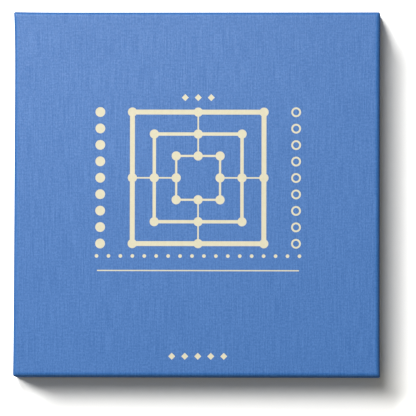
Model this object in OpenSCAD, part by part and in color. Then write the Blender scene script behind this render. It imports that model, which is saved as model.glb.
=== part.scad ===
// Boxed nine men's morris game: a two-piece rigid box of wrapped greyboard. A lift-off lid
// telescopes over a base, and the base holds a layered insert with eighteen men in wells,
// a playing board and a rules booklet. Millimetres, +Z up, with the origin at the centre of
// the face that the box stands on. The front of the box is towards -Y.

/* [Box] */
// Outer width of the lid, left to right
box_w = 240; // [225:1:300]
// Outer depth of the lid, front to back
box_d = 239; // [225:1:300]
// Height of the closed box
box_h = 40; // [34:1:60]
// Height of the lid's rim over the table. The base shows below it
rim_gap = 2; // [1:0.5:12]
// Outer rounding of the wrapped edge round the lid's top
edge_r = 2.4; // [0.8:0.1:2.8]
// Outer rounding of the upright corners of lid and base
corner_r = 1.2; // [0.8:0.1:2]

/* [Greyboard and paper] */
// Thickness of the greyboard that the lid and the base are folded from
wall_t = 2; // [1.5:0.1:3]
// Thickness of the linen-embossed wrapping paper
wrap_t = 0.25; // [0.15:0.05:0.4]
// Thickness of the lining paper
lining_t = 0.2; // [0.1:0.05:0.4]
// Depth of paper that turns in over a rim and under the base
turn_in = 15; // [10:1:18]
// Thickness of the sheet pasted under the base
bottom_sheet_t = 0.2; // [0.1:0.05:0.4]
// Distance from the base's edge to that sheet
bottom_sheet_inset = 3; // [2:0.5:8]
// Thickness of the tape that holds each folded corner
stay_t = 0.12; // [0.08:0.02:0.3]
// Width of tape on each side of a corner
stay_leg = 18; // [12:1:24]
// Gap between the tape's ends and the fold and rim of its wall
stay_gap = 3; // [2:0.5:6]
// Gap between the lid and the base, on each side
lid_clear = 0.6; // [0.4:0.1:1.2]

/* [Insert] */
// Gap between the insert and the base, on each side
insert_clear = 0.4; // [0.2:0.1:1]
// Gap between the insert's top face and the lid's lining
headroom = 4; // [3:0.5:8]
// Thickness of the insert's top board
frame_t = 3.3; // [2.5:0.1:4]
// Thickness of the paper that faces that board
facing_t = 0.2; // [0.1:0.05:0.4]
// Thickness of the layer under it, which carries the playing board
ledge_t = 3; // [2.5:0.5:5]
// Thickness of the paper sheet that floors the wells and the pocket
floor_t = 0.3; // [0.2:0.05:0.5]
// Width of the ledge that carries the playing board
ledge_w = 9; // [6:1:14]

/* [Men] */
// Diameter of a man
man_d = 18; // [14:0.5:21]
// Thickness of a man
man_t = 8.6; // [7:0.1:9.5]
// Rounding of a man's rims
man_r = 1.2; // [0.5:0.1:2]
// Depth of the dish turned into each face of a man
dish_depth = 0.5; // [0.2:0.1:0.8]
// Width of the flat rim round that dish
dish_rim = 1.2; // [0.8:0.1:2]
// Gap round a man in its well
well_clear = 0.4; // [0.3:0.05:0.8]
// Distance from one well's centre to the next
well_pitch = 24; // [22:0.5:25.5]

/* [Playing board] */
// Side of the square playing board
board_side = 167; // [150:1:170]
// Thickness of the playing board's greyboard core
board_core_t = 3; // [2.5:0.1:3.2]
// Gap round the playing board in the insert
board_clear = 0.5; // [0.3:0.1:1]
// Side of the outermost of the three printed squares
grid_side = 140; // [110:1:142]
// Width of the printed lines
grid_line = 1.8; // [1:0.1:3]
// Diameter of the printed points
grid_point_d = 7; // [4:0.5:10]
// Thickness of the stamped foil
foil_t = 0.08; // [0.04:0.02:0.12]
// Width of the ribbon that lifts the playing board
ribbon_w = 10; // [6:1:16]
// Thickness of the ribbon
ribbon_t = 0.35; // [0.2:0.05:0.5]
// Length of ribbon that lies on the playing board
ribbon_top = 30; // [20:1:45]
// Length of ribbon glued under the playing board
ribbon_under = 24; // [16:1:40]
// Gap round the ribbon in its notch
ribbon_clear = 0.5; // [0.3:0.1:1]

/* [Rules booklet] */
// Gap round the booklet in its pocket
booklet_clear = 2; // [1:0.5:6]
// Thickness of the booklet's inner pages together
pages_t = 0.5; // [0.3:0.1:0.8]
// Thickness of the booklet's cover sheet
cover_t = 0.3; // [0.2:0.05:0.4]
// Distance that the pages stop short of the cover's open edges
pages_inset = 0.5; // [0.3:0.1:1]
// Diameter of the staple wire
staple_d = 0.4; // [0.3:0.05:0.5]
// Length of a staple's crown
staple_crown = 12; // [8:1:14]
// Length of a staple's legs
staple_leg = 4; // [2:0.5:6]
// Distance between the two staples' centres
staple_pitch = 74; // [50:1:90]

/* [Lid emblem] */
// Side of the stamped board figure
emblem_side = 86; // [60:1:92]
// Stroke of its outer square
emblem_line_outer = 3.2; // [1.5:0.1:4]
// Stroke of its middle square
emblem_line_middle = 2.2; // [1:0.1:3]
// Stroke of its inner square
emblem_line_inner = 1.4; // [0.8:0.1:2]
// Stroke of the lines that join the squares
emblem_line_joint = 1; // [0.6:0.1:2]
// Diameter of its twenty-four points
emblem_point_d = 6; // [3:0.2:8]
// Distance from the figure's edge to the row of men on each side
emblem_men_gap = 21; // [12:1:30]
// Diameter of those men
emblem_man_d = 6.4; // [4:0.2:8]
// Stroke of the open men on the right
emblem_ring_line = 1.2; // [0.6:0.1:1.6]
// Side-to-side size of the lozenges above the figure and at the lid's front
emblem_lozenge = 4.6; // [3:0.2:6]
// Distance from one lozenge to the next
emblem_lozenge_pitch = 8.5; // [7:0.5:12]
// Distance from the figure up to the lozenges above it
emblem_head_gap = 9.5; // [8:0.5:16]
// Distance from the figure down to the row of dots under it
emblem_dots_gap = 8.1; // [6:0.1:12]
// Diameter of those dots
emblem_dot_d = 2.4; // [1.4:0.2:3.4]
// Distance from one dot to the next
emblem_dot_pitch = 7.8; // [5:0.1:9]
// Distance from the dots down to the rule under them
emblem_rule_gap = 9.5; // [4:0.5:14]
// Length of the rule
emblem_rule_w = 132; // [80:1:160]
// Stroke of the rule
emblem_rule_line = 0.8; // [0.5:0.1:1.6]
// Distance from the lid's front edge to the lozenges there
emblem_foot_gap = 13.8; // [10:0.2:24]
// Shift of the whole emblem to the right of the lid's centre
emblem_x = 0.9; // [-3:0.1:3]
// Height of the board figure above the lid's centre
emblem_y = 10.9; // [0:0.1:12]

/* [Hidden] */
$fn = 48;
MEN = 9;
SIDES = ["light", "dark"];

linen_blue = [0.37, 0.53, 0.77];
foil_cream = [0.93, 0.89, 0.77];
paper_cream = [0.91, 0.87, 0.77];
greyboard = [0.55, 0.53, 0.50];
kraft = [0.76, 0.62, 0.45];
maple = [0.85, 0.70, 0.50];
walnut = [0.30, 0.19, 0.12];
steel = [0.75, 0.75, 0.77];

over = 1;  // how far a cutting shape runs past the face that it opens

// Plan sizes [width, depth], from the lid's outside inwards
lid_out = [box_w, box_d];
lid_board_out = grow(lid_out, -wrap_t);
lid_board_in = grow(lid_board_out, -wall_t);
lid_open = grow(lid_board_in, -max(wrap_t, lining_t));
base_out = grow(lid_open, -lid_clear);
base_board_out = grow(base_out, -wrap_t);
base_board_in = grow(base_board_out, -wall_t);
base_open = grow(base_board_in, -max(wrap_t, lining_t));
insert_out = grow(base_open, -insert_clear);
board_out = [board_side, board_side];
board_hole = grow(board_out, board_clear);
pocket = grow(board_hole, -ledge_w);

// Heights, from the underside up
base_wrap_z = bottom_sheet_t;
base_board_z = base_wrap_z + wrap_t;
base_floor_z = base_board_z + wall_t;
filler_z = base_floor_z + lining_t;
lid_rim_z = rim_gap;
lid_board_top_z = box_h - wrap_t;
lid_ceiling_z = lid_board_top_z - wall_t;
base_rim_z = lid_ceiling_z - lining_t;
insert_top_z = base_rim_z - headroom;
frame_top_z = insert_top_z - facing_t;
ledge_top_z = frame_top_z - frame_t;
well_floor_z = ledge_top_z - ledge_t;
filler_top_z = well_floor_z - floor_t;
board_core_z = ledge_top_z + lining_t;
board_top_z = board_core_z + board_core_t + wrap_t;

well_r = man_d / 2 + well_clear;
rack_x = (board_hole.x + insert_out.x) / 4;
man_bottom = well_floor_z;

booklet_side = pocket.x - 2 * booklet_clear;
booklet_t = pages_t + 2 * cover_t;
notch_w = ribbon_w + 2 * ribbon_clear;

function grow(size, by) = [size.x + 2 * by, size.y + 2 * by];

// A rectangle with round corners, centred
module round_rect(size, r) {
    square([size.x - 2 * r, size.y], center = true);
    square([size.x, size.y - 2 * r], center = true);
    for (x = [-1, 1], y = [-1, 1])
        translate([x * (size.x / 2 - r), y * (size.y / 2 - r)])
            circle(r);
}

// A rectangle whose two upper corners are round, centred across and standing on its base line
module round_top(w, h, r) {
    translate([-w / 2, 0])
        square([w, h - r]);
    translate([r - w / 2, 0])
        square([w - 2 * r, h]);
    for (x = [-1, 1])
        translate([x * (w / 2 - r), h - r])
            circle(r);
}

// A block from z0 to z1 with round upright corners
module slab(size, r, z0, z1) {
    translate([0, 0, z0])
        linear_extrude(z1 - z0)
            round_rect(size, r);
}

// A block from z0 to z1 with sharp corners
module sharp_slab(size, z0, z1) {
    translate([0, 0, z0])
        linear_extrude(z1 - z0)
            square(size, center = true);
}

// A slab with corners rounded by r, whose upper edges are rounded by top_r
module soft_slab(size, r, top_r, z0, z1) {
    h = z1 - z0;
    intersection() {
        slab(size, r, z0, z1);
        translate([0, size.y / 2 + over, z0])
            rotate([90, 0, 0])
                linear_extrude(size.y + 2 * over)
                    round_top(size.x, h, top_r);
        translate([-size.x / 2 - over, 0, z0])
            rotate([90, 0, 90])
                linear_extrude(size.x + 2 * over)
                    round_top(size.y, h, top_r);
    }
}

// A four-sided sleeve of paper between two plan sizes
module sleeve(outer, inner, z0, z1) {
    difference() {
        sharp_slab(outer, z0, z1);
        sharp_slab(inner, z0 - over, z1 + over);
    }
}

// Four tapes, each folded round one upright corner of a board shell and let into its face
module corner_stays(size, r, z0, z1) {
    for (x = [-1, 1], y = [-1, 1])
        intersection() {
            difference() {
                slab(size, r, z0, z1);
                slab(grow(size, -stay_t), r - stay_t, z0 - over, z1 + over);
            }
            translate([x * size.x / 2, y * size.y / 2, z0 - over])
                linear_extrude(z1 - z0 + 2 * over)
                    square(2 * stay_leg, center = true);
        }
}

module lid_stays_shape() {
    corner_stays(lid_board_out, corner_r - wrap_t, lid_rim_z + wrap_t + stay_gap,
                 lid_board_top_z - edge_r - stay_gap);
}

module base_stays_shape() {
    corner_stays(base_board_out, corner_r - wrap_t, base_board_z + stay_gap,
                 base_rim_z - wrap_t - stay_gap);
}

module lid_board() {
    color(greyboard)
        difference() {
            soft_slab(lid_board_out, corner_r - wrap_t, edge_r - wrap_t, lid_rim_z + wrap_t,
                      lid_board_top_z);
            sharp_slab(lid_board_in, lid_rim_z - over, lid_ceiling_z);
            lid_stays_shape();
        }
}

module lid_corner_stays() {
    color(kraft)
        lid_stays_shape();
}

// One sheet over the top and sides, folded round the rim and turned in
module lid_wrap() {
    color(linen_blue) {
        difference() {
            soft_slab(lid_out, corner_r, edge_r, lid_rim_z, box_h);
            soft_slab(lid_board_out, corner_r - wrap_t, edge_r - wrap_t, lid_rim_z + wrap_t,
                      lid_board_top_z);
            sharp_slab(grow(lid_board_in, -wrap_t), lid_rim_z - over, lid_rim_z + 2 * wrap_t);
            emblem_shape();
        }
        sleeve(lid_board_in, grow(lid_board_in, -wrap_t), lid_rim_z, lid_rim_z + turn_in);
    }
}

// The lid's ceiling, and its walls down to where the wrap's turn-in ends
module lid_lining() {
    color(paper_cream) {
        sharp_slab(lid_board_in, base_rim_z, lid_ceiling_z);
        sleeve(lid_board_in, grow(lid_board_in, -lining_t), lid_rim_z + turn_in, lid_ceiling_z);
    }
}

// Three nested squares, the lines that join them, and the points where lines meet
module morris_figure(side, line_outer, line_middle, line_inner, line_joint, point_d) {
    step = side / 6;
    lines = [line_inner, line_middle, line_outer];
    for (ring = [1:3])
        difference() {
            square(2 * step * ring + lines[ring - 1], center = true);
            square(2 * step * ring - lines[ring - 1], center = true);
        }
    for (turn = [0:3])
        rotate(90 * turn) {
            translate([step, -line_joint / 2])
                square([2 * step, line_joint]);
            for (ring = [1:3], along = [0, 1])
                translate([ring * step, along * ring * step])
                    circle(d = point_d);
        }
}

module ring_mark(d, stroke) {
    difference() {
        circle(d = d);
        circle(d = d - 2 * stroke);
    }
}

module lozenge(d) {
    rotate(45)
        square(d / sqrt(2), center = true);
}

// A row of marks, centred, with the given number and spacing
module mark_row(count, pitch) {
    for (i = [0:count - 1])
        translate([(i - (count - 1) / 2) * pitch, 0])
            children();
}

// A column of men, one for each that a player has, beside the board figure
module emblem_men(x) {
    translate([x, emblem_y])
        rotate(90)
            mark_row(MEN, emblem_side / (MEN - 1))
                children();
}

// The board figure between nine solid and nine open men, with rows of small marks
module emblem_plan() {
    men_x = emblem_side / 2 + emblem_men_gap;
    head_y = emblem_y + emblem_side / 2 + emblem_head_gap;
    dots_y = emblem_y - emblem_side / 2 - emblem_dots_gap;
    foot_y = emblem_foot_gap - box_d / 2;
    translate([0, emblem_y])
        morris_figure(emblem_side, emblem_line_outer, emblem_line_middle, emblem_line_inner,
                      emblem_line_joint, emblem_point_d);
    emblem_men(-men_x)
        circle(d = emblem_man_d);
    emblem_men(men_x)
        ring_mark(emblem_man_d, emblem_ring_line);
    translate([0, head_y])
        mark_row(3, emblem_lozenge_pitch)
            lozenge(emblem_lozenge);
    translate([0, dots_y])
        mark_row(2 * MEN, emblem_dot_pitch)
            circle(d = emblem_dot_d);
    translate([0, dots_y - emblem_rule_gap])
        square([emblem_rule_w, emblem_rule_line], center = true);
    translate([0, foot_y])
        mark_row(5, emblem_lozenge_pitch)
            lozenge(emblem_lozenge);
}

module emblem_shape() {
    translate([emblem_x, 0, box_h - foil_t])
        linear_extrude(foil_t)
            emblem_plan();
}

module lid_emblem() {
    color(foil_cream)
        emblem_shape();
}

module base_board() {
    color(greyboard)
        difference() {
            slab(base_board_out, corner_r - wrap_t, base_board_z, base_rim_z - wrap_t);
            sharp_slab(base_board_in, base_floor_z, base_rim_z + over);
            base_stays_shape();
        }
}

module base_corner_stays() {
    color(kraft)
        base_stays_shape();
}

// A band round the walls, turned in over the rim and under the floor
module base_wrap() {
    color(linen_blue) {
        difference() {
            slab(base_out, corner_r, base_wrap_z, base_rim_z);
            slab(base_board_out, corner_r - wrap_t, base_board_z, base_rim_z - wrap_t);
            sharp_slab(grow(base_out, -turn_in), base_wrap_z - over, base_board_z + over);
            sharp_slab(grow(base_board_in, -wrap_t), base_rim_z - 2 * wrap_t, base_rim_z + over);
        }
        sleeve(base_board_in, grow(base_board_in, -wrap_t), base_rim_z - turn_in, base_rim_z);
    }
}

module base_bottom_sheet() {
    color(linen_blue)
        sharp_slab(grow(base_out, -bottom_sheet_inset), 0, bottom_sheet_t);
}

module base_lining() {
    color(paper_cream) {
        sharp_slab(base_board_in, base_floor_z, filler_z);
        sleeve(base_board_in, grow(base_board_in, -lining_t), base_floor_z, base_rim_z - turn_in);
    }
}

// Honeycomb card pad that lifts the playing surface to the top of the base
module filler_pad() {
    color(kraft)
        sharp_slab(insert_out, filler_z, filler_top_z);
}

module floor_sheet() {
    color(linen_blue)
        sharp_slab(insert_out, filler_top_z, well_floor_z);
}

function man_place(side, i) =
    [(side == "light" ? -1 : 1) * rack_x, (i - (MEN + 1) / 2) * well_pitch];

module wells(z0, z1) {
    for (side = SIDES, i = [1:MEN])
        translate(concat(man_place(side, i), z0 - over))
            cylinder(r = well_r, h = z1 - z0 + 2 * over);
}

// A clear square through a layer, with the ribbon's notch in its front edge
module board_window(size, notch_depth, z0, z1) {
    sharp_slab(size, z0 - over, z1 + over);
    translate([-notch_w / 2, -size.y / 2 - notch_depth, z0 - over])
        cube([notch_w, notch_depth + over, z1 - z0 + 2 * over]);
}

// Carries the playing board on its inner edge, and leaves the booklet's pocket under it
module ledge_layer() {
    color(greyboard)
        difference() {
            sharp_slab(insert_out, well_floor_z, ledge_top_z);
            board_window(pocket, ledge_w + ribbon_clear + ribbon_t, well_floor_z, ledge_top_z);
            wells(well_floor_z, ledge_top_z);
        }
}

module insert_frame() {
    color(greyboard)
        difference() {
            sharp_slab(insert_out, ledge_top_z, frame_top_z);
            board_window(board_hole, ribbon_clear + ribbon_t, ledge_top_z, frame_top_z);
            wells(ledge_top_z, frame_top_z);
        }
}

module insert_facing() {
    color(paper_cream)
        difference() {
            sharp_slab(insert_out, frame_top_z, insert_top_z);
            board_window(board_hole, ribbon_clear + ribbon_t, frame_top_z, insert_top_z);
            wells(frame_top_z, insert_top_z);
        }
}

module board_core() {
    color(greyboard)
        sharp_slab(grow(board_out, -wrap_t), board_core_z, board_core_z + board_core_t);
}

// Covers the core's top and edges
module board_wrap() {
    color(linen_blue)
        difference() {
            sharp_slab(board_out, board_core_z, board_top_z);
            sharp_slab(grow(board_out, -wrap_t), board_core_z - over, board_top_z - wrap_t);
            board_print_shape();
        }
}

module board_backing() {
    color(paper_cream)
        sharp_slab(board_out, ledge_top_z, board_core_z);
}

module board_print_shape() {
    translate([0, 0, board_top_z - foil_t])
        linear_extrude(foil_t)
            morris_figure(grid_side, grid_line, grid_line, grid_line, grid_line, grid_point_d);
}

module board_print() {
    color(foil_cream)
        board_print_shape();
}

// Glued under the playing board, folded up round its front edge and back over its top
module board_ribbon() {
    front = -board_side / 2;
    color(foil_cream)
        translate([-ribbon_w / 2, front - ribbon_t, ledge_top_z - ribbon_t]) {
            cube([ribbon_w, ribbon_under + ribbon_t, ribbon_t]);
            cube([ribbon_w, ribbon_t, board_top_z - ledge_top_z + 2 * ribbon_t]);
            translate([0, 0, board_top_z - ledge_top_z + ribbon_t])
                cube([ribbon_w, ribbon_top + ribbon_t, ribbon_t]);
        }
}

// Two wire staples driven through the booklet's spine, along its left edge
module staples_shape() {
    spine_x = -booklet_side / 2;
    for (y = [-1, 1])
        translate([spine_x - staple_d / 2, y * staple_pitch / 2, well_floor_z + booklet_t / 2]) {
            rotate([90, 0, 0])
                cylinder(d = staple_d, h = staple_crown, center = true);
            for (end = [-1, 1])
                translate([0, end * (staple_crown - staple_d) / 2, 0])
                    rotate([0, 90, 0])
                        cylinder(d = staple_d, h = staple_leg);
        }
}

// One sheet folded round the pages, open on three sides
module rules_cover() {
    color(foil_cream)
        difference() {
            sharp_slab([booklet_side, booklet_side], well_floor_z, well_floor_z + booklet_t);
            translate([-booklet_side / 2 + cover_t, -booklet_side / 2 - over,
                       well_floor_z + cover_t])
                cube([booklet_side + over, booklet_side + 2 * over, pages_t]);
            staples_shape();
        }
}

module rules_pages() {
    color("white")
        difference() {
            translate([-booklet_side / 2 + cover_t, -booklet_side / 2 + pages_inset,
                       well_floor_z + cover_t])
                cube([booklet_side - cover_t - pages_inset, booklet_side - 2 * pages_inset,
                      pages_t]);
            staples_shape();
        }
}

module rules_staples() {
    color(steel)
        staples_shape();
}

// A turned disc with round rims and a shallow dish in both faces
module man() {
    r = man_d / 2;
    dish_r = r - man_r - dish_rim;
    ball_r = (dish_r * dish_r + dish_depth * dish_depth) / (2 * dish_depth);
    difference() {
        rotate_extrude() {
            square([r - man_r, man_t]);
            translate([0, man_r])
                square([r, man_t - 2 * man_r]);
            for (z = [man_r, man_t - man_r])
                translate([r - man_r, z])
                    circle(man_r);
        }
        translate([0, 0, man_t - dish_depth + ball_r])
            sphere(ball_r);
        translate([0, 0, dish_depth - ball_r])
            sphere(ball_r);
    }
}

module man_at(side, i) {
    color(side == "light" ? maple : walnut)
        translate(concat(man_place(side, i), man_bottom))
            man();
}

lid_board();
lid_corner_stays();
lid_wrap();
lid_lining();
lid_emblem();
base_board();
base_corner_stays();
base_wrap();
base_bottom_sheet();
base_lining();
filler_pad();
floor_sheet();
ledge_layer();
insert_frame();
insert_facing();
board_core();
board_wrap();
board_backing();
board_print();
board_ribbon();
rules_cover();
rules_pages();
rules_staples();
for (side = SIDES, i = [1:MEN])
    man_at(side, i);
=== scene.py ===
"""Looks for the boxed nine men's morris game: paper, board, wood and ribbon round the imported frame.

Lengths are in metres, in the row frame. They come from the frame's own boxes or from a named value.
"""

import math
import random

import bmesh
import bpy
from mathutils import Matrix, Quaternion, Vector
from mathutils.geometry import delaunay_2d_cdt


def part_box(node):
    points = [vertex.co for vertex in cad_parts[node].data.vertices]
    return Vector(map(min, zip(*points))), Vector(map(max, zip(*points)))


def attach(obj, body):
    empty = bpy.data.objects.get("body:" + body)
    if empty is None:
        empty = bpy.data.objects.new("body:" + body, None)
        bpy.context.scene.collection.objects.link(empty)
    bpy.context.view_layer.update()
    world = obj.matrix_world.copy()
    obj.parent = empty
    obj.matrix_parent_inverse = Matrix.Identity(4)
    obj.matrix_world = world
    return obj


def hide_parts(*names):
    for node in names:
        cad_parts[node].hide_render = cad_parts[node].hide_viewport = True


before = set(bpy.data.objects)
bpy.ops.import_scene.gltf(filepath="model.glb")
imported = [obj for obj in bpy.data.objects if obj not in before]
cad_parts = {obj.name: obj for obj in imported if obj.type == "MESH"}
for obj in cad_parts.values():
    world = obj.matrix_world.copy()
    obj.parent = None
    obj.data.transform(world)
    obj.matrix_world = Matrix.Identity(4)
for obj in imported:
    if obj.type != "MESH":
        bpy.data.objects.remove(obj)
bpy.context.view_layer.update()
MM = 0.001
SAME_PLACE = 1e-7  # points that are closer than this are one point
SAME_HEIGHT = 1e-6  # heights that are closer than this are one height
NO_LENGTH = 1e-8  # edges that are shorter than this are dropped
FILL_TOLERANCE = 1e-9  # how close points may be in a triangulation
INSIDE_WITH_HOLES = 2  # the kind of triangulation that leaves holes open

# ---------------------------------------------------------------- sizes read from the frame

lid_low, lid_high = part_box("lid_wrap")
base_low, base_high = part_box("base_wrap")
emblem_low, emblem_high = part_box("lid_emblem")
board_low, board_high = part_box("board_wrap")
print_low, print_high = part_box("board_print")
ribbon_low, ribbon_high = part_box("board_ribbon")
cover_low, cover_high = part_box("rules_cover")
pages_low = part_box("rules_pages")[0]
WRAP_T = lid_high.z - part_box("lid_board")[1].z
BOARD_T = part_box("lid_board")[1].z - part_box("lid_lining")[1].z
TURN_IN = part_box("lid_lining")[0].z - lid_low.z
BOARD_WALL_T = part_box("board_wrap")[1].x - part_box("board_core")[1].x
RIBBON_T = ribbon_high.z - board_high.z
COVER_T = pages_low.z - cover_low.z

# ---------------------------------------------------------------- sizes that only the looks need

CORNER_R = 1.2 * MM  # rounding of the box's upright corners
BASE_EDGE_R = 1.2 * MM  # rounding of the base's lower edge
FLAT_RIM = 0.8 * MM  # flat strip that is kept just inside a rounded edge
FOLD_R = 0.5 * MM  # rounding where paper folds round a cut edge
EDGE_STEPS, FOLD_STEPS, WALL_ROWS = 9, 5, 6  # how finely rounded edges, folds and walls are divided

# A box's walls, as (axis, sign), and how each of them departs from a flat one.
LEFT, RIGHT, BACK, FRONT = (0, -1), (0, 1), (1, 1), (1, -1)
# how far it draws in at its middle
LID_BOW = {LEFT: 0.62 * MM, RIGHT: 0.36 * MM, BACK: 0.2 * MM, FRONT: 0.06 * MM}
BASE_BOW = {LEFT: 0.18 * MM, RIGHT: 0.1 * MM, BACK: 0.0, FRONT: 0.0}
# how much more it does so towards +x or +y, as a share
BOW_SKEW = {LEFT: 0.6, RIGHT: -0.1, BACK: -0.9, FRONT: 0.0}
# how far it leans in from the lid's rim to its top
LID_LEAN = {LEFT: 0.0, RIGHT: 0.3 * MM, BACK: 0.0, FRONT: 0.6 * MM}
BOW_POWER = 8  # a high power keeps the flare close to the corners
BOW_ZONE = (0.9, 0.97)  # shares of the half-width over which the bow fades in
SEAM_AT, SEAM_W, SEAM_DEPTH = 1.0 * MM, 0.25 * MM, 0.12 * MM  # the wrap's seam beside each corner

LID_DEBOSS, BOARD_DEBOSS = 0.05 * MM, 0.04 * MM  # how deep stamped prints lie in the paper
BOARD_EDGE_R, BOARD_EDGE_STEPS = 0.9 * MM, 7
BOARD_FOOT, BOARD_FOOT_IN = 0.3 * MM, 0.08 * MM  # where the board's paper draws in at its lower edge

# A die-cut edge is rolled down: (millimetres in from the cut, share of the whole drop).
CUT_ROLL = [(0.0, 1.0), (0.08, 0.6), (0.2, 0.3), (0.36, 0.1), (0.55, 0.0)]
CUT_DROP = 0.16 * MM

RIB_PITCH, RIB_DEPTH, RIB_STEPS = 0.5 * MM, 0.05 * MM, 4  # the ribbon's ribs
RIBBON_FREE, RIBBON_LIFT = 12 * MM, 0.2 * MM  # its end on the board, and how far that stands off
RIBBON_UNDER = 24 * MM  # how far it runs on under the board
RIBBON_BEND, BEND_STEPS = 0.25 * MM, 6  # inner radius of its two bends round the board's edge
SELVEDGE, SELVEDGE_FROM = 0.75, 0.9  # thickness of its woven edges and where they start, as shares

COVER_LIFT = 0.25 * MM  # how far the booklet's cover springs open at its fore-edge
COVER_RUNS, SPINE_STEPS = 12, 10

MAN_SIDES, MAN_EDGE_STEPS, DISH_STEPS = 64, 7, 9
MAN_EDGE_R, MAN_RIM, MAN_DISH = 1.2 * MM, 0.24 * MM, 0.5 * MM  # rounding, flat rim, depth of dish
DISH_POWER = 1.2  # above 1, the dish starts smoothly from its rim
UNDER_RING = 0.6  # where the flat underside is divided, as a share of the radius
GROOVE_W, GROOVE_DEPTH = 0.35 * MM, 0.14 * MM  # turned grooves in a man's side
GROOVES_AT = (0.4, 0.6)  # shares of its height
GROOVE_SHAPE = ((-2, 0), (-1, 0.7), (0, 1), (1, 0.7), (2, 0))  # (quarters of width, share of depth)
GRAIN_TILT = 0.12  # the most that the plank's grain tilts in a man, in radians
GRAIN_SHIFT = 0.5  # the most that a man's place in the plank shifts, in metres

# ---------------------------------------------------------------- outlines


def side_steps():
    """Places along a side from -1 to 1, closer together towards its ends, where the bow bends most."""
    half = [1.0, 0.985, 0.96, 0.92, 0.86, 0.78, 0.66, 0.5, 0.3, 0.1]
    return [-t for t in half] + half[::-1]


CORNER_STEPS = 8
SIDES = [(1, 0), (0, 1), (-1, 0), (0, -1)]


def outline(half, corner_r, inset, seam=0.0):
    """Points of a rounded rectangle, counter-clockwise, as (x, y, side).

    seam is how deep the seams beside the corners are pressed into the front and back walls."""
    r = max(corner_r - inset, 0.0)
    reach = [size - max(corner_r, inset) for size in half]
    points = []
    for side, (nx, ny) in enumerate(SIDES):
        out = half[0] if nx else half[1]
        along = reach[1] if nx else reach[0]
        steps = [(t, 0.0) for t in side_steps()]
        if ny:
            for end in (-1, 1):
                for shift, depth in ((-0.5, 0.0), (0.0, seam), (0.5, 0.0)):
                    steps.append((end * (1 - (SEAM_AT + shift * SEAM_W) / along), depth))
            steps.sort()
        for t, depth in steps:
            across = out - inset - depth
            points.append((nx * across - ny * along * t, ny * across + nx * along * t, side))
        next_x, next_y = SIDES[(side + 1) % 4]
        corner = ((nx + next_x) * reach[0], (ny + next_y) * reach[1])
        for k in range(1, CORNER_STEPS):
            turn = math.pi / 2 * k / CORNER_STEPS
            c, s = math.cos(turn) * r, math.sin(turn) * r
            owner = side if k * 2 <= CORNER_STEPS else (side + 1) % 4
            points.append((corner[0] + nx * c + next_x * s, corner[1] + ny * c + next_y * s, owner))
    return points


def arc(centre, r, start, end, steps):
    """Points of a circular arc, angles in degrees."""
    turns = [math.radians(start + (end - start) * k / steps) for k in range(steps + 1)]
    return [(centre[0] + r * math.cos(t), centre[1] + r * math.sin(t)) for t in turns]


def top_loops(node):
    """Outlines of the flat top of a node, as lists of (x, y). The solid lies to the left of each.

    They are the edges that only one triangle of the top has. Corners are matched by rounding."""
    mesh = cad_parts[node].data
    top = max(v.co.z for v in mesh.vertices)
    keys = [tuple(round(c / SAME_PLACE) for c in v.co.xy) for v in mesh.vertices]
    place = {key: (v.co.x, v.co.y) for key, v in zip(keys, mesh.vertices)}
    edges = set()
    for face in mesh.polygons:
        if all(mesh.vertices[i].co.z > top - SAME_HEIGHT for i in face.vertices):
            ids = [keys[i] for i in face.vertices]
            for a, b in zip(ids, ids[1:] + ids[:1]):
                if (b, a) in edges:
                    edges.remove((b, a))
                else:
                    edges.add((a, b))
    after = {}
    for a, b in sorted(edges):
        after.setdefault(a, []).append(b)
    loops = []
    while after:
        at, loop = min(after), []
        while at in after:
            loop.append(place[at])
            following = after[at].pop()
            if not after[at]:
                del after[at]
            at = following
        loops.append(loop)
    return loops


def offset(loop, into):
    """The loop moved to its left by into, with mitred corners."""
    moved = []
    for before, at, after in zip(loop[-1:] + loop[:-1], loop, loop[1:] + loop[:1]):
        a = (Vector(at) - Vector(before)).normalized().orthogonal()
        b = (Vector(after) - Vector(at)).normalized().orthogonal()
        moved.append(tuple(Vector(at) + (a + b) * (into / (1 + a.dot(b)))))
    return moved


# ---------------------------------------------------------------- mesh building


def make_piece(bm, name, body, nodes, material, sharp=32):
    """Turns a bmesh into a piece that rides on a body and stands for CAD nodes."""
    bmesh.ops.remove_doubles(bm, verts=bm.verts, dist=SAME_PLACE)
    bmesh.ops.dissolve_degenerate(bm, edges=bm.edges, dist=NO_LENGTH)
    mesh = bpy.data.meshes.new(name)
    bm.to_mesh(mesh)
    bm.free()
    piece = bpy.data.objects.new(name, mesh)
    bpy.context.scene.collection.objects.link(piece)
    mesh.shade_smooth()
    mesh.set_sharp_from_angle(angle=math.radians(sharp))
    mesh.materials.append(material)
    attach(piece, body)
    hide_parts(*nodes)
    return piece


def fill(bm, loops, up):
    """Flat faces between nested loops of vertices at one height."""
    flat = [v for loop in loops for v in loop]
    rings, count = [], 0
    for loop in loops:
        rings.append(list(range(count, count + len(loop))))
        count += len(loop)
    found = delaunay_2d_cdt([v.co.xy for v in flat], [], rings, INSIDE_WITH_HOLES, FILL_TOLERANCE)
    faces = []
    for triangle in found[2]:
        corners = [flat[found[3][i][0]] for i in triangle]
        turn = (corners[1].co - corners[0].co).cross(corners[2].co - corners[0].co).z
        if (turn > 0) != up:
            corners.reverse()
        faces.append(bm.faces.new(corners))
    return faces


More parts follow.
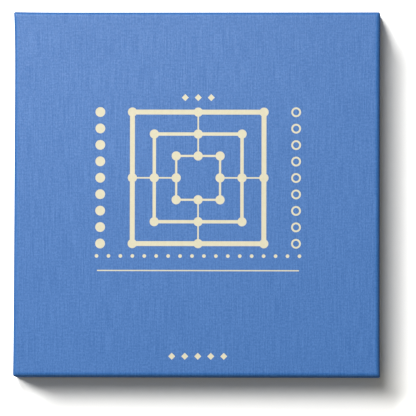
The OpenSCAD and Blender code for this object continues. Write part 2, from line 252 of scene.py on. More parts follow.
def bow(bm, half, depths, leans=None):
    """Draws a box's walls in between its corners, as wrapped board does when its glue dries.

    depths is how far they draw in, and leans how far the lid's walls lean in from rim to top."""
    for v in bm.verts:
        up = (v.co.z - lid_low.z) / (lid_high.z - lid_low.z)
        shares = [max(-1.0, min(1.0, v.co[axis] / half[axis])) for axis in (0, 1)]
        for axis in (0, 1):
            wall = (axis, 1 if shares[axis] > 0 else -1)
            along = shares[1 - axis]
            fade = min(max((abs(shares[axis]) - BOW_ZONE[0]) / (BOW_ZONE[1] - BOW_ZONE[0]), 0), 1)
            pull = depths[wall] * (1 + BOW_SKEW[wall] * along) * (1 - abs(along) ** BOW_POWER)
            if leans:
                pull += leans[wall] * up
            v.co[axis] -= wall[1] * fade * pull


def steepness(profile):
    """How a profile stands at each point, from 0 where it lies flat to 1 where it is upright."""
    runs = []
    for (i0, z0), (i1, z1) in zip(profile, profile[1:]):
        runs.append(math.atan2(abs(z1 - z0), abs(i1 - i0)) / (math.pi / 2))
    return [(before + after) / 2 for before, after in zip(runs[:1] + runs, runs + runs[-1:])]


class Shell:
    """Bent paper: rings of one outline at given insets and heights, joined by bands.

    Its "sheet" attribute holds the paper's own flat coordinates, which run on over every fold, and
    "steep" tells flat paper, at 0, from upright paper, at 1."""

    def __init__(self, half, corner_r):
        self.bm = bmesh.new()
        self.sheet = self.bm.loops.layers.float_vector.new("sheet")
        self.steep = self.bm.loops.layers.float_vector.new("steep")
        self.half, self.corner_r = half, corner_r

    def lay_flat(self, faces):
        for face in faces:
            for loop in face.loops:
                loop[self.sheet] = loop.vert.co.xy.to_3d()

    def bands(self, profile, seams=range(0)):
        """Joins the rings of a profile of (inset, z). Rings in seams get the seams by the corners."""
        rings, lengths, length = [], [], 0.0
        for k, (inset, z) in enumerate(profile):
            points = outline(self.half, self.corner_r, inset, SEAM_DEPTH if k in seams else 0.0)
            rings.append([self.bm.verts.new((x, y, z)) for x, y, _ in points])
            if k:
                length += math.dist(profile[k - 1], profile[k])
            lengths.append(length)
        owners = [side for _, _, side in points]
        steep = steepness(profile)
        flat = [size - profile[0][0] for size in self.half]
        for a, b in zip(range(len(rings) - 1), range(1, len(rings))):
            for i, side in enumerate(owners):
                j = (i + 1) % len(owners)
                face = self.bm.faces.new((rings[a][i], rings[b][i], rings[b][j], rings[a][j]))
                nx, ny = SIDES[side]
                for loop, at in zip(face.loops, (a, b, b, a)):
                    loop[self.steep] = Vector((steep[at],) * 3)
                    u = nx * (flat[0] + lengths[at]) if nx else loop.vert.co.x
                    v = ny * (flat[1] + lengths[at]) if ny else loop.vert.co.y
                    loop[self.sheet] = Vector((u, v, 0))
        return rings

    def cap(self, ring, up, loops=(), recess=0.0):
        """Closes a ring with flat faces. Loops outline a print that is let in by recess."""
        z = ring[0].co.z
        border = [v for v, w in zip(ring, ring[-1:] + ring[:-1]) if (v.co - w.co).length > SAME_PLACE]
        rims = [[self.bm.verts.new((x, y, z)) for x, y in loop] for loop in loops]
        self.lay_flat(fill(self.bm, [border] + rims, up))
        if rims:
            floors = [[self.bm.verts.new((v.co.x, v.co.y, z - recess)) for v in loop] for loop in rims]
            self.lay_flat(fill(self.bm, floors, up))
            self.walls(rims, floors)

    def walls(self, first, second):
        """Upright faces between two sets of loops.

        They face away from what lies left of the loops where the second set is the higher one, and
        towards it where the second set is the lower one."""
        for one, other in zip(first, second):
            for i in range(len(one)):
                j = (i + 1) % len(one)
                self.lay_flat([self.bm.faces.new((one[i], one[j], other[j], other[i]))])

    def turn_faces(self):
        """Turns every face round. Where a profile runs up its outside, its bands face inwards."""
        bmesh.ops.reverse_faces(self.bm, faces=self.bm.faces)

    def piece(self, name, body, nodes, slot, material):
        return make_piece(self.bm, name, body, nodes, material)


def layered(loops, profile):
    """A shell of nested outlines, from its underside to its top. Profile is of (offset, z)."""
    shell = Shell((0, 0), 0)
    rings = []
    for into, z in profile:
        moved = [offset(loop, into) for loop in loops] if into else loops
        rings.append([[shell.bm.verts.new((x, y, z)) for x, y in loop] for loop in moved])
    shell.lay_flat(fill(shell.bm, rings[0], False))
    for lower, upper in zip(rings, rings[1:]):
        shell.walls(lower, upper)
    shell.lay_flat(fill(shell.bm, rings[-1], True))
    return shell


def wrap_profile(panel_z, rim_z, thick, edge_r, turn_in):
    """(inset, z) of a box's paper, and which of these points lie on the outside of its wall.

    It runs from the panel along the outside to the rim, back along the inside for the length of the
    turn-in, and behind the board to the panel again."""
    depth = abs(panel_z - rim_z)
    down = math.copysign(1, rim_z - panel_z)
    path = [(edge_r + FLAT_RIM, 0)] + arc((edge_r, edge_r), edge_r, 270, 180, EDGE_STEPS)
    straight = depth - edge_r - FOLD_R
    path += [(0, edge_r + straight * k / WALL_ROWS) for k in range(1, WALL_ROWS)]
    wall = range(EDGE_STEPS, EDGE_STEPS + WALL_ROWS + 2)
    path += arc((FOLD_R, depth - FOLD_R), FOLD_R, 180, 90, FOLD_STEPS)
    path += arc((thick - FOLD_R, depth - FOLD_R), FOLD_R, 90, 0, FOLD_STEPS)
    back = thick - WRAP_T
    path += [(thick, depth - turn_in), (back, depth - turn_in)]
    path += [(back, depth - WRAP_T), (WRAP_T, depth - WRAP_T)]
    path += arc((edge_r, edge_r), edge_r - WRAP_T, 180, 270, FOLD_STEPS)
    path.append((edge_r + FLAT_RIM, WRAP_T))
    return [(inset, panel_z + down * d) for inset, d in path], wall


# ---------------------------------------------------------------- materials


class Finish:
    """A node material, built by short calls. Its lengths are in millimetres."""

    def __init__(self, name, **inputs):
        self.material = bpy.data.materials.new(name)
        self.material.use_nodes = True
        self.tree = self.material.node_tree
        self.tree.nodes.clear()
        self.shader = self.add("BsdfPrincipled", **inputs)
        output = self.add("OutputMaterial")
        self.tree.links.new(self.shader.outputs[0], output.inputs["Surface"])

    def add(self, kind, settings=None, **inputs):
        node = self.tree.nodes.new("ShaderNode" + kind)
        for key, value in (settings or {}).items():
            setattr(node, key, value)
        for key, value in inputs.items():
            self.put(node, key.replace("_", " "), value)
        return node

    def put(self, node, key, value):
        socket = node.inputs[key]
        if isinstance(value, bpy.types.NodeSocket):
            self.tree.links.new(value, socket)
        else:
            socket.default_value = value

    def set(self, key, value):
        self.put(self.shader, key, value)

    def maths(self, operation, *values):
        node = self.add("Math", {"operation": operation})
        for key, value in enumerate(values):
            self.put(node, key, value)
        return node.outputs[0]

    def vector(self, operation, *values):
        node = self.add("VectorMath", {"operation": operation})
        for key, value in enumerate(values):
            self.put(node, key, value)
        return node.outputs[0]

    def flat(self, name="sheet"):
        """Coordinates that were laid on the mesh, in millimetres."""
        source = self.add("Attribute", {"attribute_name": name}).outputs["Vector"]
        return self.vector("MULTIPLY", source, (1 / MM,) * 3)

    def place(self):
        """The row frame's coordinates, in millimetres."""
        return self.vector("MULTIPLY", self.add("TexCoord").outputs["Object"], (1 / MM,) * 3)

    def noise(self, vector, pitch, detail=2.0, rough=0.5):
        """Noise of about 0.2 to 0.8, with features of pitch millimetres along each axis."""
        near = self.vector("MULTIPLY", vector, tuple(1 / p for p in pitch))
        node = self.add("TexNoise", Vector=near, Scale=1.0, Detail=detail, Roughness=rough)
        return node.outputs["Fac"]

    def spread(self, value, low, high, to_low=0.0, to_high=1.0):
        node = self.add("MapRange")
        for key, number in enumerate((value, low, high, to_low, to_high)):
            self.put(node, key, number)
        return node.outputs[0]

    def mix(self, factor, a, b):
        node = self.add("Mix", {"data_type": "RGBA"})
        for key, value in ((0, factor), (6, a), (7, b)):
            self.put(node, key, value)
        return node.outputs[2]

    def total(self, *terms):
        """Weighted sum of (weight, value) pairs."""
        parts = [self.maths("MULTIPLY", value, weight) for weight, value in terms]
        while len(parts) > 1:
            parts.append(self.maths("ADD", parts.pop(0), parts.pop(0)))
        return parts[0]

    def bump(self, height, depth, strength=1.0):
        node = self.add("Bump", Height=height, Distance=depth * MM, Strength=strength)
        self.set("Normal", node.outputs["Normal"])


def linen_threads(finish, vector):
    """(height, slubs): threads pressed into linen paper, and the thicker runs that show from afar.

    Each noise has the thread's width one way and the length of its thicker stretches the other way."""
    warp = finish.noise(vector, (0.45, 4.0, 1), 2.0, 0.6)
    weft = finish.noise(vector, (3.5, 0.5, 1), 2.0, 0.6)
    slub_warp = finish.noise(vector, (0.8, 22.0, 1), 2.0, 0.6)
    slub_weft = finish.noise(vector, (6.0, 0.9, 1), 2.0, 0.7)
    knots = finish.noise(vector, (0.8, 1.5, 1), 2.0, 0.7)
    threads = ((0.28, warp), (0.2, weft), (0.18, slub_warp), (0.14, slub_weft), (0.2, knots))
    height = finish.total(*threads)
    slubs = finish.total((0.33, slub_warp), (0.2, slub_weft), (0.47, knots))
    return height, slubs


def linen_paper(name, light, dark):
    """Paper embossed with a linen weave: lighter on the raised threads, darker between them.

    It is pressed smooth on flat panels and matt on walls. Where it begins to fold it is rubbed: a
    little smoother still, with less of the weave left."""
    finish = Finish(name)
    vector = finish.flat()
    height, slubs = linen_threads(finish, vector)
    fade = finish.noise(vector, (70, 70, 70), 2.0, 0.5)
    tone = finish.total((0.25, finish.spread(height, 0.4, 0.62)),
                        (0.65, finish.spread(slubs, 0.42, 0.6)),
                        (0.1, finish.spread(fade, 0.3, 0.7)))
    finish.set("Base Color", finish.mix(tone, dark, light))
    steep = finish.add("Attribute", {"attribute_name": "steep"}).outputs["Fac"]
    folding, not_upright = finish.spread(steep, 0, 0.1), finish.spread(steep, 0.3, 0.45, 1, 0)
    rubbed = finish.maths("MULTIPLY", folding, not_upright)
    pressed, raw = finish.spread(steep, 0.3, 0.5, 1, 0), finish.spread(steep, 0.3, 0.5)
    smooth = finish.maths("MULTIPLY", finish.spread(height, 0.4, 0.65, 0.42, 0.26),
                          finish.spread(rubbed, 0, 1, 1, 0.95))
    matt = finish.spread(height, 0.4, 0.65, 1, 0.9)
    finish.set("Roughness", finish.maths("ADD", finish.maths("MULTIPLY", smooth, pressed),
                                         finish.maths("MULTIPLY", matt, raw)))
    finish.set("Specular IOR Level", 0.42)
    finish.bump(height, 0.06, finish.spread(rubbed, 0, 1, 0.7, 0.3))
    return finish.material


def foil(name, light, dark):
    """Pigment foil stamped over linen: nearly flat, with the deepest threads still showing."""
    finish = Finish(name)
    vector = finish.flat()
    height, slubs = linen_threads(finish, vector)
    cloud = finish.noise(vector, (4, 4, 4), 3.0, 0.6)
    tone = finish.total((0.5, finish.spread(slubs, 0.36, 0.66)),
                        (0.5, finish.spread(cloud, 0.3, 0.7)))
    finish.set("Base Color", finish.mix(tone, dark, light))
    finish.set("Roughness", finish.spread(cloud, 0.3, 0.7, 0.4, 0.52))
    finish.bump(height, 0.08, 0.4)
    return finish.material


def smooth_paper(name, light, dark, fibre=0.35, rough=0.7):
    """Uncoated paper with faint fibres."""
    finish = Finish(name)
    vector = finish.place()
    fibres = finish.noise(vector, (fibre,) * 3, 5.0, 0.65)
    cloud = finish.noise(vector, (14,) * 3, 2.0, 0.5)
    tone = finish.total((0.6, finish.spread(fibres, 0.3, 0.7)),
                        (0.4, finish.spread(cloud, 0.3, 0.7)))
    finish.set("Base Color", finish.mix(tone, dark, light))
    finish.set("Roughness", finish.spread(fibres, 0.3, 0.7, rough + 0.08, rough - 0.06))
    finish.bump(fibres, 0.02, 0.5)
    return finish.material


def board_stock(name, light, dark):
    """Grey or brown board: flecks of fibre, and pressed layers that show on cut edges."""
    finish = Finish(name)
    vector = finish.place()
    layers = finish.noise(vector, (9, 9, 0.22), 3.0, 0.6)
    flecks = finish.noise(vector, (0.5, 0.5, 0.3), 4.0, 0.7)
    tone = finish.total((0.5, finish.spread(layers, 0.3, 0.7)),
                        (0.5, finish.spread(flecks, 0.35, 0.75)))
    finish.set("Base Color", finish.mix(tone, dark, light))
    finish.set("Roughness", finish.spread(flecks, 0.3, 0.7, 0.92, 0.8))
    finish.bump(finish.total((0.5, layers), (0.5, flecks)), 0.07, 0.6)
    return finish.material


def wood(name, light, dark, pore, pitch, rough):
    """Oiled wood. The "grain" attribute holds each man's own place in the plank, which runs along y."""
    finish = Finish(name)
    vector = finish.flat("grain")
    wander = finish.noise(vector, (pitch * 5, pitch * 25, pitch * 5), 2.0, 0.5)
    shift = finish.add("CombineXYZ", X=finish.maths("MULTIPLY", wander, pitch * 8)).outputs[0]
    rings = finish.noise(finish.vector("ADD", vector, shift), (pitch, pitch * 45, pitch * 2), 3.0, 0.55)
    pores = finish.noise(vector, (0.14, 2.6, 0.14), 3.0, 0.7)
    figure = finish.mix(finish.spread(rings, 0.38, 0.62), light, dark)
    finish.set("Base Color", finish.mix(finish.spread(pores, 0.55, 0.72, 0.0, 0.55), figure, pore))
    finish.set("Roughness", finish.spread(pores, 0.4, 0.7, rough, rough + 0.15))
    finish.set("Coat Weight", 0.12)
    finish.set("Coat Roughness", 0.35)
    finish.bump(finish.total((0.4, rings), (-0.6, pores)), 0.05, 0.5)
    return finish.material


def grosgrain(name, light, dark):
    """Ribbed ribbon: fine warp threads over the ribs that are in its mesh."""
    finish = Finish(name)
    vector = finish.flat()
    warp = finish.noise(vector, (0.16, 0.5, 1), 2.0, 0.6)
    cloud = finish.noise(vector, (3, 3, 3), 2.0, 0.5)
    finish.set("Base Color", finish.mix(finish.total((0.7, warp), (0.3, cloud)), dark, light))
    finish.set("Roughness", finish.spread(warp, 0.3, 0.7, 0.75, 0.6))
    finish.set("Sheen Weight", 0.25)
    finish.set("Sheen Roughness", 0.4)
    finish.bump(warp, 0.04, 0.7)
    return finish.material


def steel_wire(name):
    """Bright drawn wire."""
    finish = Finish(name, Metallic=1.0)
    drawn = finish.noise(finish.place(), (0.05, 1.5, 0.05), 3.0, 0.6)
    finish.set("Base Color", finish.mix(drawn, (0.42, 0.42, 0.44, 1), (0.62, 0.62, 0.63, 1)))
    finish.set("Roughness", finish.spread(drawn, 0.3, 0.7, 0.28, 0.42))
    finish.bump(drawn, 0.01, 0.5)
    return finish.material


blue_linen = linen_paper("linen_paper", (0.071, 0.213, 0.547, 1), (0.021, 0.128, 0.402, 1))
cream_foil = foil("foil_print", (0.783, 0.736, 0.54, 1), (0.69, 0.638, 0.442, 1))
grey_board = board_stock("greyboard", (0.33, 0.31, 0.27, 1), (0.19, 0.175, 0.155, 1))
blue_lining = smooth_paper("lining_paper", (0.115, 0.245, 0.53, 1), (0.09, 0.205, 0.47, 1))
blue_floor = smooth_paper("floor_paper", (0.05, 0.115, 0.29, 1), (0.035, 0.09, 0.24, 1))
cream_facing = smooth_paper("facing_paper", (0.83, 0.765, 0.585, 1), (0.76, 0.69, 0.51, 1))
cream_cover = smooth_paper("booklet_cover", (0.85, 0.79, 0.62, 1), (0.78, 0.71, 0.53, 1), 0.5)
white_pages = smooth_paper("booklet_pages", (0.87, 0.85, 0.79, 1), (0.8, 0.78, 0.71, 1))
kraft_tape = smooth_paper("stay_tape", (0.5, 0.33, 0.19, 1), (0.4, 0.25, 0.13, 1), 0.7)
brown_card = board_stock("filler_card", (0.47, 0.32, 0.19, 1), (0.33, 0.21, 0.11, 1))
cream_ribbon = grosgrain("ribbon_cloth", (0.86, 0.79, 0.6, 1), (0.7, 0.62, 0.43, 1))
staple_steel = steel_wire("staple_wire")
maple = wood("light_wood", (0.70, 0.49, 0.27, 1), (0.55, 0.35, 0.17, 1),
             pore=(0.38, 0.22, 0.1, 1), pitch=1.1, rough=0.38)
walnut = wood("dark_wood", (0.15, 0.075, 0.038, 1), (0.07, 0.032, 0.016, 1),
              pore=(0.02, 0.01, 0.006, 1), pitch=0.9, rough=0.36)

# ---------------------------------------------------------------- lid


def make_lid():
    """The wrap and its print are built afresh. What lies behind them follows the bowed walls."""
    half = (lid_high.x, lid_high.y)
    shell = Shell(half, CORNER_R)
    edge_r = lid_high.x - max(x for loop in top_loops("lid_wrap") for x, _ in loop)
    profile, wall = wrap_profile(lid_high.z, lid_low.z, BOARD_T + 2 * WRAP_T, edge_r, TURN_IN)
    rings = shell.bands(profile, wall)
    loops = top_loops("lid_emblem")
    shell.cap(rings[0], True, loops, emblem_high.z - emblem_low.z)
    shell.cap(rings[-1], False)
    bow(shell.bm, half, LID_BOW, LID_LEAN)
    shell.piece("lid_wrap_paper", "lid", ["lid_wrap"], "linen_paper", blue_linen)
    film = layered(loops, [(0, emblem_low.z), (0, emblem_high.z - LID_DEBOSS)])
    film.piece("lid_emblem_foil", "lid", ["lid_emblem"], "foil_print", cream_foil)
    bowed_copy("lid_board", half, grey_board)
    bowed_copy("lid_lining", half, blue_lining)
    bowed_copy("lid_corner_stays", half, kraft_tape)


def bowed_copy(node, half, material):
    """A copy of one of the lid's nodes that follows its bowed walls."""
    bm = bmesh.new()
    bm.from_mesh(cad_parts[node].data)
    bmesh.ops.remove_doubles(bm, verts=bm.verts, dist=SAME_PLACE)
    for axis, normal in enumerate(((1, 0, 0), (0, 1, 0))):
        for t in side_steps():
            parts = bm.verts[:] + bm.edges[:] + bm.faces[:]
            at = Vector(normal) * t * half[axis]
            bmesh.ops.bisect_plane(bm, geom=parts, plane_co=at, plane_no=normal)
    bow(bm, half, LID_BOW, LID_LEAN)
    make_piece(bm, node + "_bowed", "lid", [node], material)


# ---------------------------------------------------------------- base and insert


def make_base():
    """The wrap is built afresh, with its panel below and its rim above."""
    half = (base_high.x, base_high.y)
    shell = Shell(half, CORNER_R)
    profile, wall = wrap_profile(base_low.z, base_high.z, BOARD_T + 2 * WRAP_T, BASE_EDGE_R, TURN_IN)
    rings = shell.bands(profile, wall)
    shell.turn_faces()
    shell.cap(rings[0], False)
    shell.cap(rings[-1], True)
    bow(shell.bm, half, BASE_BOW)
    shell.piece("base_wrap_paper", "base", ["base_wrap"], "linen_paper", blue_linen)


def make_insert():
    """The die-cut frame and the paper on it, whose cut edges roll down together."""
    loops = top_loops("insert_facing")
    frame_low, frame_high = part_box("insert_frame")
    facing_low, facing_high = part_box("insert_facing")
    rolled = [(into * MM, share * CUT_DROP) for into, share in CUT_ROLL]
    body = layered(loops, [(0, frame_low.z)] + [(into, frame_high.z - drop) for into, drop in rolled])
    body.piece("insert_frame_cut", "base", ["insert_frame"], "greyboard", grey_board)
    under = [(into, facing_low.z - drop) for into, drop in reversed(rolled)]
    sheet = layered(loops, under + [(into, facing_high.z - drop) for into, drop in rolled])
    sheet.piece("insert_facing_rolled", "base", ["insert_facing"], "facing_paper", cream_facing)


# ---------------------------------------------------------------- playing board and its ribbon


def make_board():
    """The board's wrap, with its lines and points stamped into it."""
    shell = Shell((board_high.x, board_high.y), BOARD_EDGE_R)
    top, low = board_high.z, board_low.z
    inner = BOARD_WALL_T
    profile = [(BOARD_EDGE_R + FLAT_RIM, top)]
    edge = arc((BOARD_EDGE_R,) * 2, BOARD_EDGE_R, 270, 180, BOARD_EDGE_STEPS)
    profile += [(inset, top - d) for inset, d in edge]
    profile += [(0, low + BOARD_FOOT), (BOARD_FOOT_IN, low + BOARD_FOOT_IN), (inner, low)]
    profile += [(inner, top - 2 * inner), (BOARD_EDGE_R, top - inner)]
    profile.append((BOARD_EDGE_R + FLAT_RIM, top - inner))
    rings = shell.bands(profile)
    loops = top_loops("board_print")
    shell.cap(rings[0], True, loops, print_high.z - print_low.z)
    shell.cap(rings[-1], False)
    shell.piece("board_wrap_paper", "board", ["board_wrap"], "linen_paper", blue_linen)
    film = layered(loops, [(0, print_low.z), (0, print_high.z - BOARD_DEBOSS)])
    film.piece("board_print_foil", "board", ["board_print"], "foil_print", cream_foil)


def ribbon_path():
    """(y, z) down the ribbon's middle, from its free end on the board to its end under it."""
    half_t = RIBBON_T / 2
    bend = half_t + RIBBON_BEND
    front, over, under = ribbon_low.y + half_t, ribbon_high.z - half_t, ribbon_low.z + half_t
    points = [(ribbon_high.y, over)]
    points += arc((front + bend, over - bend), bend, 90, 180, BEND_STEPS)
    points += arc((front + bend, under + bend), bend, 180, 270, BEND_STEPS)
    points.append((ribbon_low.y + RIBBON_T + RIBBON_UNDER, under))
    return points


def walk(points, step):
    """Points at even steps along a line, as (point, direction, distance)."""
    found, length, left = [], 0.0, 0.0
    for a, b in zip(points, points[1:]):
        span = math.dist(a, b)
        way = ((b[0] - a[0]) / span, (b[1] - a[1]) / span)
        while left <= span:
            found.append(((a[0] + way[0] * left, a[1] + way[1] * left), way, length + left))
            left += step
        left -= span
        length += span
    return found, length


def make_ribbon():
    """One grosgrain ribbon, with a rib across it at every pitch and thinner woven edges."""
    path, length = walk(ribbon_path(), RIB_PITCH / RIB_STEPS)
    width = ribbon_high.x - ribbon_low.x
    across = [-1, -0.94, -0.88, -0.4, 0, 0.4, 0.88, 0.94, 1]
    bm = bmesh.new()
    sheet = bm.loops.layers.float_vector.new("sheet")
    rings = []
    for k, ((y, z), (dy, dz), run) in enumerate(path):
        rib = RIB_DEPTH * (1 - abs(math.sin(math.pi * run / RIB_PITCH)))
        lift = RIBBON_LIFT * max(0.0, 1 - run / RIBBON_FREE) ** 2
        normal = Vector((0, dz, -dy))
        middle = Vector((0, y, z + lift))
        ring = []
        for side in (1, -1):
            for share in across[::side]:
                thick = (RIBBON_T / 2 - rib) * (SELVEDGE if abs(share) > SELVEDGE_FROM else 1.0)
                u = share * width / 2
                ring.append((bm.verts.new(middle + normal * thick * side + Vector((u, 0, 0))), u, run))
        rings.append(ring)
    for a, b in zip(rings, rings[1:]):
        for i in range(len(a)):
            j = (i + 1) % len(a)
            face = bm.faces.new((a[i][0], b[i][0], b[j][0], a[j][0]))
            for loop, (_, u, v) in zip(face.loops, (a[i], b[i], b[j], a[j])):
                loop[sheet] = Vector((u, v, 0))
    for ring in (rings[0], rings[-1]):
        n = len(across)
        for i in range(n - 1):
            bm.faces.new((ring[i][0], ring[i + 1][0], ring[2 * n - 2 - i][0], ring[2 * n - 1 - i][0]))
    bmesh.ops.recalc_face_normals(bm, faces=bm.faces)
    piece = make_piece(bm, "board_ribbon_grosgrain", "board", ["board_ribbon"],
                       cream_ribbon, sharp=60)


# ---------------------------------------------------------------- men


def man_profile(radius, low, high):
    """(radius, z) of a turned man, from the middle of its underside to that of its dished top."""
    corner = radius - MAN_EDGE_R
    points = [(0, low), (radius * UNDER_RING, low)]
    points += arc((corner, low + MAN_EDGE_R), MAN_EDGE_R, 270, 360, MAN_EDGE_STEPS)
    for share in GROOVES_AT:
        z = low + (high - low) * share
        for away, depth in GROOVE_SHAPE:
            points.append((radius - GROOVE_DEPTH * depth, z + GROOVE_W / 4 * away))
    points += arc((corner, high - MAN_EDGE_R), MAN_EDGE_R, 0, 90, MAN_EDGE_STEPS)
    inner = corner - MAN_RIM
    points.append((inner, high))
    for k in range(1, DISH_STEPS):
        share = 1 - k / DISH_STEPS
        points.append((inner * share, high - MAN_DISH * (1 - share**2) ** DISH_POWER))
    points.append((0, high - MAN_DISH))
    return points


def make_man(node, material, rng):
    """One man, turned on its own axis from its own place in a plank."""
    low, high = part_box(node)
    centre = (low + high) / 2
    radius = (high.x - low.x) / 2
    profile = man_profile(radius, low.z, high.z)
    bm = bmesh.new()
    grain = bm.loops.layers.float_vector.new("grain")
    tilt = Matrix.Rotation(rng.uniform(-GRAIN_TILT, GRAIN_TILT), 3, "X")
    turn = tilt @ Matrix.Rotation(rng.uniform(0, math.tau), 3, "Z")
    shift = Vector([rng.uniform(-GRAIN_SHIFT, GRAIN_SHIFT) for _ in range(3)])
    around = [math.tau * k / MAN_SIDES for k in range(MAN_SIDES)]
    rings = []
    for r, z in profile:
        if r == 0:
            rings.append([bm.verts.new((centre.x, centre.y, z))] * MAN_SIDES)
        else:
            places = [(centre.x + r * math.cos(t), centre.y + r * math.sin(t), z) for t in around]
            rings.append([bm.verts.new(place) for place in places])
    for a, b in zip(rings, rings[1:]):
        for i in range(MAN_SIDES):
            j = (i + 1) % MAN_SIDES
            corners = list(dict.fromkeys((a[i], a[j], b[j], b[i])))
            face = bm.faces.new(corners)
            for loop in face.loops:
                loop[grain] = turn @ (loop.vert.co - centre) + shift
    make_piece(bm, node + "_turned", node, [node], material, sharp=40)


# ---------------------------------------------------------------- booklet


def make_booklet():
    """The cover is one sheet, folded round the pages and a little open at its fore-edge."""
    half_y = cover_high.y
    spine, fore = cover_low.x, cover_high.x
    middle = (cover_low.z + cover_high.z) / 2
    bend = (cover_high.z - cover_low.z) / 2
    outer = [(fore, cover_low.z), (spine + bend, cover_low.z)]
    outer += arc((spine + bend, middle), bend, 270, 90, SPINE_STEPS)[1:]
    for k in range(1, COVER_RUNS + 1):
        share = k / COVER_RUNS
        x = spine + bend + (fore - spine - bend) * share
        outer.append((x, cover_high.z + COVER_LIFT * share**3))
    inner = [(fore, cover_low.z + COVER_T), (spine + bend, cover_low.z + COVER_T)]
    inner += arc((spine + bend, middle), bend - COVER_T, 270, 90, SPINE_STEPS)[1:]
    inner += [(x, z - COVER_T) for x, z in outer[-COVER_RUNS:]]
    bm = bmesh.new()
    section = outer + inner[::-1]
    rows = [[bm.verts.new((x, y, z)) for x, z in section] for y in (-half_y, half_y)]
    count, n = len(rows[0]), len(outer)
    for i in range(count):
        j = (i + 1) % count
        bm.faces.new((rows[0][i], rows[0][j], rows[1][j], rows[1][i]))
    for row in rows:
        for i in range(n - 1):
            bm.faces.new((row[i], row[i + 1], row[count - 2 - i], row[count - 1 - i]))
    bmesh.ops.recalc_face_normals(bm, faces=bm.faces)
    make_piece(bm, "rules_cover_folded", "rules", ["rules_cover"], cream_cover)


# ---------------------------------------------------------------- floor, light and camera

SOFTBOXES = {  # name: (place, size, watts)
    "left_softbox": ((-1.23, 0.64, 1.71), (0.53, 0.51), 22),
    "back_softbox": ((-0.81, 1.83, 2.3), (0.73, 0.73), 46.5),
    "top_softbox": ((-0.23, 0.48, 2.34), (0.53, 0.53), 13.4),
}
FILL = (0.111, 0.107, 0.095)  # the soft light from all round, a little warm
FILL_TILT = 0.8  # how much brighter than that it is in front, and darker at the back
FLOOR_SEEN = (1.75, 1.74, 1.71)  # the floor's level for the camera
FLOOR_MIRRORED = (0.9, 0.88, 0.85)  # and for reflections
FLOOR_FELT = (0.31, 0.295, 0.27)  # and for the light that it throws back
FLOOR_FADE = (0.5, 1.2)  # distance over which the floor passes into the plain white of the backdrop
STAGE_R, STAGE_SIDES, BACKDROP_H = 12.0, 96, 3.5
SENSOR_W = 36  # the camera's own, in millimetres
VIEW_W = 0.2718  # width of the view at the lid's top
CAMERA_AWAY = (0.11, -0.14, 5.0)  # from the middle of the view on the lid's top to the camera
VIEW_CENTRE = (7.4 * MM, -8.8 * MM)
ROLL = math.radians(0.1)  # how far the camera is turned about its own line of sight


def shader_tree(block):
    """The emptied node tree of a material or world."""
    block.use_nodes = True
    block.node_tree.nodes.clear()
    return block.node_tree


def stage_piece(bm, name):
    """Makes a stage object with an empty material, and gives (its node tree, the surface socket)."""
    mesh = bpy.data.meshes.new(name)
    bm.to_mesh(mesh)
    bm.free()
    piece = bpy.data.objects.new(name, mesh)
    bpy.context.scene.collection.objects.link(piece)
    material = bpy.data.materials.new(name)
    material.cycles.emission_sampling = "NONE"
    mesh.materials.append(material)
    tree = shader_tree(material)
    return tree, tree.nodes.new("ShaderNodeOutputMaterial").inputs["Surface"]


def shade(tree, kind, level):
    """A diffuse or emission shader of one level."""
    node = tree.nodes.new("Shader" + kind)
    node.inputs["Color"].default_value = (*level, 1)
    return node.outputs[0]


def either(tree, factor, plain, other):
    """The other shader where the factor is 1, and the plain one where it is 0."""
    mixer = tree.nodes.new("ShaderNodeMixShader")
    for socket, value in zip(mixer.inputs, (factor, plain, other)):
        tree.links.new(value, socket)
    return mixer.outputs[0]


def ray_kinds(tree):
    """(1 for the camera's rays, 1 for rays that a gloss or glass sends on)."""
    path = tree.nodes.new("ShaderNodeLightPath")
    mirror = tree.nodes.new("ShaderNodeMath")
    mirror.operation = "MAXIMUM"
    tree.links.new(path.outputs["Is Glossy Ray"], mirror.inputs[0])
    tree.links.new(path.outputs["Is Transmission Ray"], mirror.inputs[1])
    return path.outputs["Is Camera Ray"], mirror.outputs[0]


def make_floor():
    """It takes the box's shadow near the box, and is plain white further out."""
    bm = bmesh.new()
    bmesh.ops.create_circle(bm, cap_ends=True, segments=STAGE_SIDES, radius=STAGE_R)
    tree, surface = stage_piece(bm, "floor")
    camera, mirror = ray_kinds(tree)
    away = tree.nodes.new("ShaderNodeVectorMath")
    away.operation = "LENGTH"
    tree.links.new(tree.nodes.new("ShaderNodeTexCoord").outputs["Object"], away.inputs[0])
    fade = tree.nodes.new("ShaderNodeMapRange")
    fade.interpolation_type = "SMOOTHSTEP"
    fade.inputs["From Min"].default_value, fade.inputs["From Max"].default_value = FLOOR_FADE
    tree.links.new(away.outputs["Value"], fade.inputs["Value"])
    white = shade(tree, "NodeEmission", (1, 1, 1))
    near = [either(tree, fade.outputs[0], shade(tree, "NodeBsdfDiffuse", level), white)
            for level in (FLOOR_MIRRORED, FLOOR_SEEN)]
    felt = shade(tree, "NodeBsdfDiffuse", FLOOR_FELT)
    tree.links.new(either(tree, camera, either(tree, mirror, felt, near[0]), near[1]), surface)


def make_backdrop():
    """A low wall round the floor: white to look at, but no brighter for the box than the fill."""
    bm = bmesh.new()
    bmesh.ops.create_circle(bm, segments=STAGE_SIDES, radius=STAGE_R)
    raised = bmesh.ops.extrude_edge_only(bm, edges=bm.edges)
    for v in raised["geom"]:
        if isinstance(v, bmesh.types.BMVert):
            v.co.z += BACKDROP_H
    tree, surface = stage_piece(bm, "backdrop")
    camera, mirror = ray_kinds(tree)
    felt, white = (shade(tree, "NodeEmission", level) for level in (FILL, (1, 1, 1)))
    tree.links.new(either(tree, camera, either(tree, mirror, felt, white), white), surface)


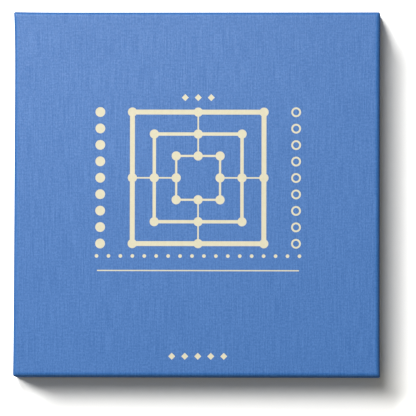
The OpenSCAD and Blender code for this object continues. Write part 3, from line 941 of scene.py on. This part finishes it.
def make_world():
    """The fill: soft light from all round, brighter in front than at the back."""
    world = bpy.data.worlds.new("studio")
    bpy.context.scene.world = world
    tree = shader_tree(world)
    background = tree.nodes.new("ShaderNodeBackground")
    background.inputs["Color"].default_value = (*FILL, 1)
    parts = tree.nodes.new("ShaderNodeSeparateXYZ")
    tree.links.new(tree.nodes.new("ShaderNodeTexCoord").outputs["Generated"], parts.inputs[0])
    tilt = tree.nodes.new("ShaderNodeMapRange")
    limits = {"From Min": -1, "From Max": 1, "To Min": 1 + FILL_TILT, "To Max": 1 - FILL_TILT}
    for key, value in limits.items():
        tilt.inputs[key].default_value = value
    tree.links.new(parts.outputs["Y"], tilt.inputs["Value"])
    tree.links.new(tilt.outputs[0], background.inputs["Strength"])
    output = tree.nodes.new("ShaderNodeOutputWorld")
    tree.links.new(background.outputs[0], output.inputs["Surface"])


def make_softbox(name, place, size, watts):
    """A rectangular lamp that looks at the middle of the floor."""
    light = bpy.data.lights.new(name, "AREA")
    light.shape = "RECTANGLE"
    light.size, light.size_y = size
    light.energy = watts
    lamp = bpy.data.objects.new(name, light)
    lamp.location = place
    lamp.rotation_euler = (-Vector(place)).to_track_quat("-Z", "Y").to_euler()
    bpy.context.scene.collection.objects.link(lamp)


def make_camera():
    """A camera far over the lid, leaning a little to the right and to the front."""
    data = bpy.data.cameras.new("camera")
    data.sensor_width = SENSOR_W
    away = Vector(CAMERA_AWAY)
    data.lens = data.sensor_width * away.length / VIEW_W
    camera = bpy.data.objects.new("camera", data)
    camera.location = Vector((*VIEW_CENTRE, lid_high.z)) + away
    lean = Vector((0, 0, 1)).rotation_difference(away)
    camera.rotation_euler = (lean @ Quaternion((0, 0, 1), ROLL)).to_euler()
    bpy.context.scene.collection.objects.link(camera)
    bpy.context.scene.camera = camera


# ---------------------------------------------------------------- the whole

# CAD nodes whose shape is already right only take a material.
KEPT = {
    "base_board": grey_board,
    "base_corner_stays": kraft_tape,
    "base_bottom_sheet": blue_lining,
    "base_lining": blue_lining,
    "filler_pad": brown_card,
    "floor_sheet": blue_floor,
    "ledge_layer": grey_board,
    "board_core": grey_board,
    "board_backing": cream_facing,
    "rules_pages": white_pages,
    "rules_staples": staple_steel,
}
for node, material in KEPT.items():
    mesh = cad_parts[node].data
    mesh.materials.clear()
    mesh.materials.append(material)

make_lid()
make_base()
make_insert()
make_board()
make_ribbon()
seeds = random.Random(9)
for number in range(1, 10):
    make_man(f"light_man_{number}", maple, seeds)
    make_man(f"dark_man_{number}", walnut, seeds)
make_booklet()

bpy.context.scene.view_settings.view_transform = "Standard"
make_floor()
make_backdrop()
make_world()
for name, softbox in SOFTBOXES.items():
    make_softbox(name, *softbox)
make_camera()
